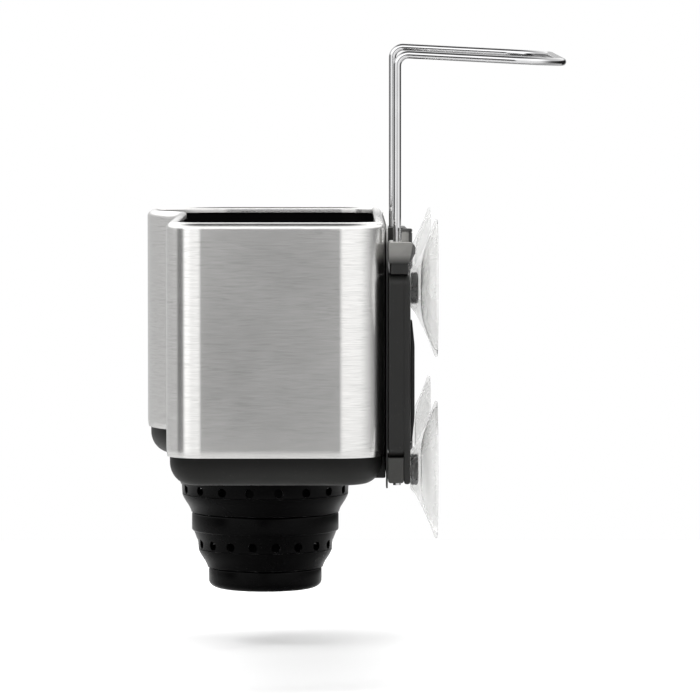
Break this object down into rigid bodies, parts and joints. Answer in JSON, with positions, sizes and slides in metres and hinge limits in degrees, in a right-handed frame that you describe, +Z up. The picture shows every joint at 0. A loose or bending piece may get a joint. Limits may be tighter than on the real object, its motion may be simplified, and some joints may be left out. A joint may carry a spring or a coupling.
{
  "type": "sink caddy",
  "caption": "Steel sink caddy with a sponge bay, a collapsible brush cup, a sliding wire hanger loop and suction cups that hold it on the wall of a sink.",
  "frame": {"origin": "on the wall plane that the suction cups' lips touch, at the centre of the four cups", "axes": "+Y into the wall, +Z up, X along the wall with the near end of the picture at +X"},
  "size_m": [0.275, 0.2117, 0.2839],
  "materials": {
    "brushed_steel": "brushed along the band",
    "polished_steel": "polished",
    "zinc_steel": "plain",
    "black_plastic": "satin",
    "dark_grey_plastic": "satin",
    "grey_plastic": "satin",
    "black_silicone": "satin",
    "black_rubber": "matte",
    "clear_vinyl": "clear, soft",
    "nylon": "plain"
  },
  "bodies": {
    "caddy": {"steel_band": "brushed_steel", "base_tray": "dark_grey_plastic", "inner_liner": "black_plastic", "bay_divider": "black_plastic", "back_plate": "zinc_steel", "brush_collar": "black_silicone", "upper_web": "black_silicone", "rear_bracket": "dark_grey_plastic", "wall_cover": "dark_grey_plastic", "near_guide_cap": "grey_plastic", "far_guide_cap": "grey_plastic", "near_foot_cap": "dark_grey_plastic", "far_foot_cap": "dark_grey_plastic", "near_leg_bush": "nylon", "far_leg_bush": "nylon", "near_bumper": "black_rubber", "far_bumper": "black_rubber", "lock_spring": "zinc_steel", "suction_cup_1": "clear_vinyl", "cup_hub_1": "black_plastic", "cover_screw_1": "zinc_steel", "band_screw_1": "zinc_steel", "suction_cup_2": "clear_vinyl", "cup_hub_2": "black_plastic", "cover_screw_2": "zinc_steel", "band_screw_2": "zinc_steel", "suction_cup_3": "clear_vinyl", "cup_hub_3": "black_plastic", "cover_screw_3": "zinc_steel", "band_screw_3": "zinc_steel", "suction_cup_4": "clear_vinyl", "cup_hub_4": "black_plastic", "cover_screw_4": "zinc_steel", "band_screw_4": "zinc_steel"},
    "hanger": {"hanger_wire": "polished_steel", "near_stop_ring": "zinc_steel", "far_stop_ring": "zinc_steel"},
    "lock_button": {"lock_button": "grey_plastic"},
    "brush_ring": {"brush_ring": "black_silicone", "lower_web": "black_silicone"},
    "brush_bottom": {"brush_bottom": "black_silicone"}
  },
  "joints": [
    {"name": "hanger_slide", "type": "slide", "parent": "caddy", "child": "hanger", "axis": [0, 0, 1], "range_m": [-0.075, 0]},
    {"name": "lock_button_press", "type": "slide", "parent": "caddy", "child": "lock_button", "axis": [0, 0, 1], "range_m": [-0.0025, 0], "stiffness_N_per_m": 400, "springref_m": 0.001, "deforming": ["lock_spring"]},
    {"name": "brush_cup_upper_fold", "type": "slide", "parent": "caddy", "child": "brush_ring", "axis": [0, 0, 1], "range_m": [0, 0.02], "deforming": ["upper_web"]},
    {"name": "brush_cup_lower_fold", "type": "slide", "parent": "brush_ring", "child": "brush_bottom", "axis": [0, 0, 1], "range_m": [0, 0.02], "deforming": ["lower_web"]}
  ]
}
